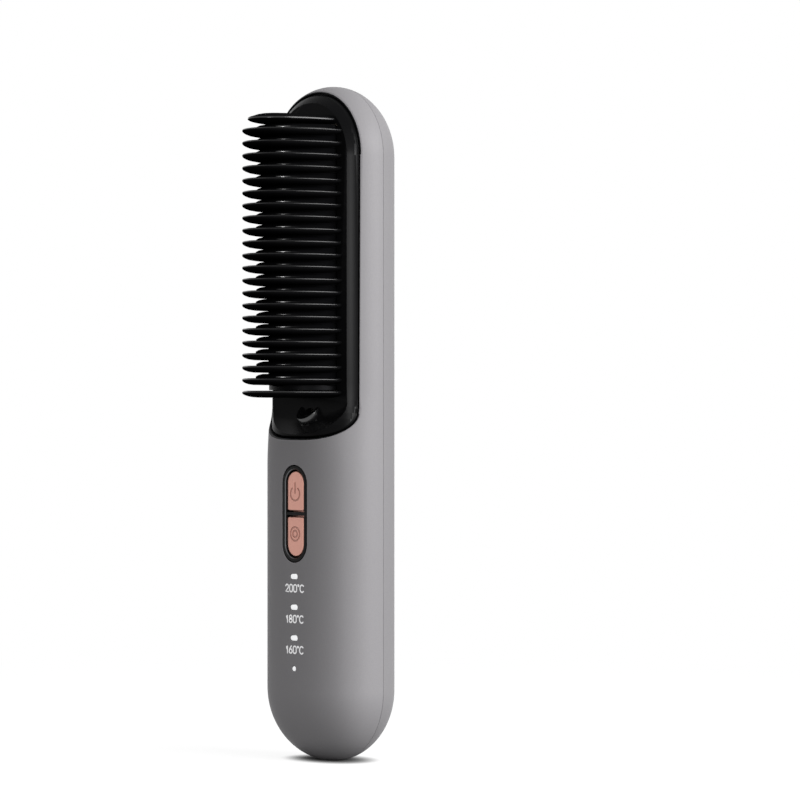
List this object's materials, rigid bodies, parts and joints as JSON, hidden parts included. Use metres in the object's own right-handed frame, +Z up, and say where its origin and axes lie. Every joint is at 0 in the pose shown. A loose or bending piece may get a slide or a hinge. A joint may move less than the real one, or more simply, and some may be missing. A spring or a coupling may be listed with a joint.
{
  "type": "hair straightening brush",
  "caption": "Cordless hair straightening brush: capsule body with a comb of heated fins and cool blades, push buttons and indicator lamps.",
  "frame": {"origin": "middle of the overall box, on the flat end that the brush stands on", "axes": "+Z up the handle to the head, -Y the side of the comb and buttons, +X to the right seen from the front"},
  "size_m": [0.0452, 0.05, 0.21],
  "materials": {
    "shell_grey": "satin lacquered plastic",
    "comb_black": "polished black plastic",
    "rose_gold": "satin rose gold plating",
    "lens_white": "frosted white",
    "heater_metal": "polished barrel, black coated fins",
    "ceramic": "matte ceramic",
    "insulation": "matte heat resistant resin",
    "dark_plastic": "matte black plastic",
    "board_green": "green solder mask",
    "cell_can": "wrapped in blue film",
    "nickel": "nickel strip",
    "steel": "bright zinc plated steel",
    "red_lead": "red silicone",
    "black_lead": "black silicone",
    "white_lead": "white silicone"
  },
  "bodies": {
    "brush": {"front_shell": "shell_grey", "rear_shell": "shell_grey", "comb_cover": "comb_black", "heater_plate": "heater_metal", "heater_element_lower": "ceramic", "heater_element_upper": "ceramic", "insulating_sheet": "insulation", "temperature_sensor": "dark_plastic", "thermal_fuse": "steel", "heater_carrier": "insulation", "button_bezel": "shell_grey", "power_switch": "dark_plastic", "temperature_switch": "dark_plastic", "lamp_lens_160": "lens_white", "lamp_chip_160": "insulation", "lamp_lens_180": "lens_white", "lamp_chip_180": "insulation", "lamp_lens_200": "lens_white", "lamp_chip_200": "insulation", "charge_lamp_lens": "lens_white", "charge_lamp_chip": "insulation", "main_board": "board_green", "battery_cell_left": "cell_can", "battery_cell_right": "cell_can", "battery_link_strap": "nickel", "battery_strap_left": "nickel", "battery_strap_right": "nickel", "battery_cradle": "dark_plastic", "charging_socket": "steel", "charging_socket_tongue": "dark_plastic", "charging_board": "board_green", "ion_generator": "dark_plastic", "ion_emitter": "white_lead", "battery_lead_positive": "red_lead", "battery_lead_negative": "black_lead", "charging_lead_positive": "red_lead", "charging_lead_negative": "black_lead", "heater_lead_1": "white_lead", "heater_lead_2": "white_lead", "sensor_lead": "black_lead", "ion_lead": "red_lead", "rear_screw_1": "steel", "rear_screw_2": "steel", "rear_screw_3": "steel", "rear_screw_4": "steel", "rear_screw_5": "steel", "board_screw_1": "steel", "board_screw_2": "steel", "board_screw_3": "steel", "board_screw_4": "steel", "carrier_screw_1": "steel", "carrier_screw_2": "steel", "carrier_screw_3": "steel", "carrier_screw_4": "steel"},
    "power_button": {"power_button": "rose_gold", "power_plunger": "dark_plastic"},
    "temperature_button": {"temperature_button": "rose_gold", "temperature_plunger": "dark_plastic"}
  },
  "joints": [
    {"name": "power_press", "type": "slide", "parent": "brush", "child": "power_button", "axis": [0, 1, 0], "range_m": [0, 0.0005], "stiffness_N_per_m": 1000},
    {"name": "temperature_press", "type": "slide", "parent": "brush", "child": "temperature_button", "axis": [0, 1, 0], "range_m": [0, 0.0005], "stiffness_N_per_m": 1000}
  ]
}
